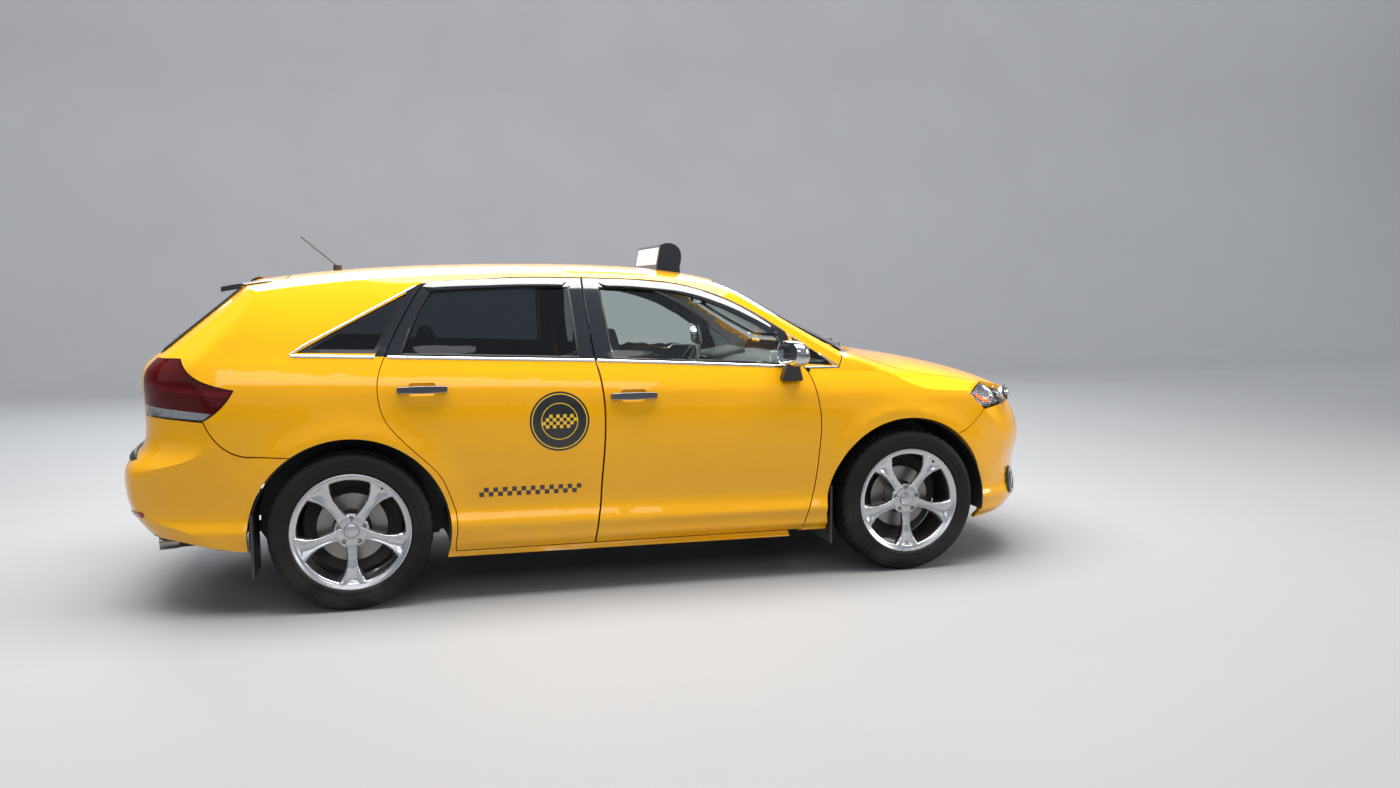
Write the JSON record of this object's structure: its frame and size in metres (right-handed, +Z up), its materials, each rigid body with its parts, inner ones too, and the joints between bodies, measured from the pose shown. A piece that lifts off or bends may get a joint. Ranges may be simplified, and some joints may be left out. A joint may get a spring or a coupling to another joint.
{
  "type": "taxi cab",
  "caption": "Five-door crossover taxi in yellow with a roof sign; doors, bonnet and tailgate open, wheels roll and steer.",
  "frame": {"origin": "on the ground under the middle of the car's length and width", "axes": "+X towards the nose, +Y to the car's left, +Z up"},
  "size_m": [4.7998, 2.2, 1.7563],
  "materials": {
    "paint": "gloss taxi yellow",
    "gloss_black": "gloss",
    "black_plastic": "satin",
    "trim_plastic": "grained",
    "underseal": "matt black coating",
    "cast_iron": "machined and cast",
    "engine_alloy": "cast",
    "steel": "dull",
    "alloy": "bright silver lacquer",
    "tyre": "matt",
    "dark_chrome": "smoked chrome",
    "clear_glass": "green tinted",
    "dark_glass": "privacy tint",
    "lamp_clear": "clear lens",
    "lamp_red": "gloss lens",
    "seat_fabric": "woven"
  },
  "bodies": {
    "body": {"body_side_right": "paint", "body_side_left": "paint", "roof": "paint", "front_wing_right": "paint", "front_wing_left": "paint", "front_bumper": "paint", "rear_bumper": "paint", "windscreen": "clear_glass", "quarter_glasses": "dark_glass", "headlamps": "lamp_clear", "tail_lamps": "lamp_red", "grille": "black_plastic", "cowl": "black_plastic", "wheel_liners": "black_plastic", "floor_pan": "underseal", "exhaust": "steel", "front_subframe": "underseal", "engine": "engine_alloy", "rear_suspension": "underseal", "front_seats": "seat_fabric", "rear_seat": "seat_fabric", "dashboard": "trim_plastic", "roof_sign": "black_plastic", "aerial": "black_plastic"},
    "bonnet": {"bonnet": "paint"},
    "tailgate": {"tailgate": "paint", "tailgate_glass": "dark_glass", "spoiler": "gloss_black"},
    "door_front_right": {"door_front_right": "paint", "door_glass_front_right": "clear_glass", "handle_front_right": "dark_chrome", "mirror_right": "dark_chrome"},
    "wheel_front_right": {"rim_front_right": "alloy", "tyre_front_right": "tyre"},
    "door_front_left": {"door_front_left": "paint", "door_glass_front_left": "clear_glass", "handle_front_left": "dark_chrome", "mirror_left": "dark_chrome"},
    "wheel_front_left": {"rim_front_left": "alloy", "tyre_front_left": "tyre"},
    "door_rear_right": {"door_rear_right": "paint", "door_glass_rear_right": "dark_glass", "handle_rear_right": "dark_chrome"},
    "wheel_rear_right": {"rim_rear_right": "alloy", "tyre_rear_right": "tyre"},
    "door_rear_left": {"door_rear_left": "paint", "door_glass_rear_left": "dark_glass", "handle_rear_left": "dark_chrome"},
    "wheel_rear_left": {"rim_rear_left": "alloy", "tyre_rear_left": "tyre"},
    "steer_right": {"knuckle_right": "cast_iron"},
    "steer_left": {"knuckle_left": "cast_iron"},
    "steering_wheel": {"steering_wheel": "trim_plastic"}
  },
  "joints": [
    {"name": "spin_front_right", "type": "hinge", "parent": "steer_right", "child": "wheel_front_right", "pos_m": [1.445, -0.817, 0.37], "axis": [0, 1, 0], "continuous": true},
    {"name": "spin_front_left", "type": "hinge", "parent": "steer_left", "child": "wheel_front_left", "pos_m": [1.445, 0.817, 0.37], "axis": [0, 1, 0], "continuous": true},
    {"name": "spin_rear_right", "type": "hinge", "parent": "body", "child": "wheel_rear_right", "pos_m": [-1.33, -0.817, 0.37], "axis": [0, 1, 0], "continuous": true},
    {"name": "spin_rear_left", "type": "hinge", "parent": "body", "child": "wheel_rear_left", "pos_m": [-1.33, 0.817, 0.37], "axis": [0, 1, 0], "continuous": true},
    {"name": "steer_left", "type": "hinge", "parent": "body", "child": "steer_left", "pos_m": [1.445, 0.776, 0.37], "axis": [0, 0, 1], "range_deg": [-35, 35]},
    {"name": "steer_right", "type": "hinge", "parent": "body", "child": "steer_right", "pos_m": [1.445, -0.776, 0.37], "axis": [0, 0, 1], "range_deg": [-35, 35]},
    {"name": "steering_turn", "type": "hinge", "parent": "body", "child": "steering_wheel", "pos_m": [0.56, 0.37, 0.96], "axis": [-0.8988, 0, 0.4384], "range_deg": [-560, 560]},
    {"name": "open_door_front_right", "type": "hinge", "parent": "body", "child": "door_front_right", "pos_m": [0.962, -0.956, 0.7], "axis": [0, 0, 1], "range_deg": [0, 68]},
    {"name": "open_door_front_left", "type": "hinge", "parent": "body", "child": "door_front_left", "pos_m": [0.962, 0.956, 0.7], "axis": [0, 0, -1], "range_deg": [0, 68]},
    {"name": "open_door_rear_right", "type": "hinge", "parent": "body", "child": "door_rear_right", "pos_m": [-0.138, -0.956, 0.7], "axis": [0, 0, 1], "range_deg": [0, 68]},
    {"name": "open_door_rear_left", "type": "hinge", "parent": "body", "child": "door_rear_left", "pos_m": [-0.138, 0.956, 0.7], "axis": [0, 0, -1], "range_deg": [0, 68]},
    {"name": "open_bonnet", "type": "hinge", "parent": "body", "child": "bonnet", "pos_m": [1.158, 0, 1.17], "axis": [0, -1, 0], "range_deg": [0, 55]},
    {"name": "open_tailgate", "type": "hinge", "parent": "body", "child": "tailgate", "pos_m": [-1.608, 0, 1.573], "axis": [0, 1, 0], "range_deg": [0, 80]}
  ],
  "couplings": [
    {"joint": "steer_right", "follows": "steer_left", "ratio": 1},
    {"joint": "steering_turn", "follows": "steer_left", "ratio": 16}
  ]
}
